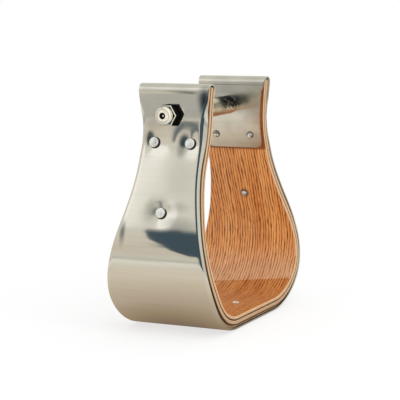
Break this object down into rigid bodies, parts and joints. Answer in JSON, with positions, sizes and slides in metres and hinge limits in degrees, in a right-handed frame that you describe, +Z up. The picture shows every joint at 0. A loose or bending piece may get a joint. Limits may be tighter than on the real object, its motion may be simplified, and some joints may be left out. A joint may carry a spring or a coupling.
{
  "type": "bell stirrup",
  "caption": "Bell-shaped western riding stirrup: bent laminated wood in a polished metal binding, with a strap roller turning on a bolt across the neck.",
  "frame": {"origin": "on the underside of the tread, under the middle of the stirrup", "axes": "+X across the stirrup from the nut's side to the bolt head's side, -Y the front as the picture shows it, +Z up towards the strap"},
  "size_m": [0.1528, 0.0748, 0.1588],
  "materials": {
    "face_oak": "gloss varnished oak",
    "dark_crossband": "stained end grain",
    "pale_ply": "varnished ply edge",
    "polished_sheet": "polished",
    "rivet_metal": "satin",
    "plated_steel": "zinc plated",
    "roller_tube": "satin plated",
    "nylon": "natural nylon"
  },
  "bodies": {
    "stirrup": {"face_ply": "face_oak", "inner_crossband": "dark_crossband", "core_ply": "pale_ply", "outer_crossband": "dark_crossband", "back_ply": "pale_ply", "metal_binding": "polished_sheet", "neck_rivet_left_front": "rivet_metal", "neck_rivet_left_rear": "rivet_metal", "neck_rivet_right_front": "rivet_metal", "neck_rivet_right_rear": "rivet_metal", "side_rivet_left": "rivet_metal", "side_rivet_right": "rivet_metal", "tread_nail_front": "rivet_metal", "tread_nail_rear": "rivet_metal", "hanger_bolt": "plated_steel", "lock_nut": "plated_steel", "nut_insert": "nylon"},
    "roller": {"strap_roller": "roller_tube"}
  },
  "joints": [
    {"name": "roller_spin", "type": "hinge", "parent": "stirrup", "child": "roller", "pos_m": [0, 0.0025, 0.1393], "axis": [1, 0, 0], "continuous": true}
  ]
}
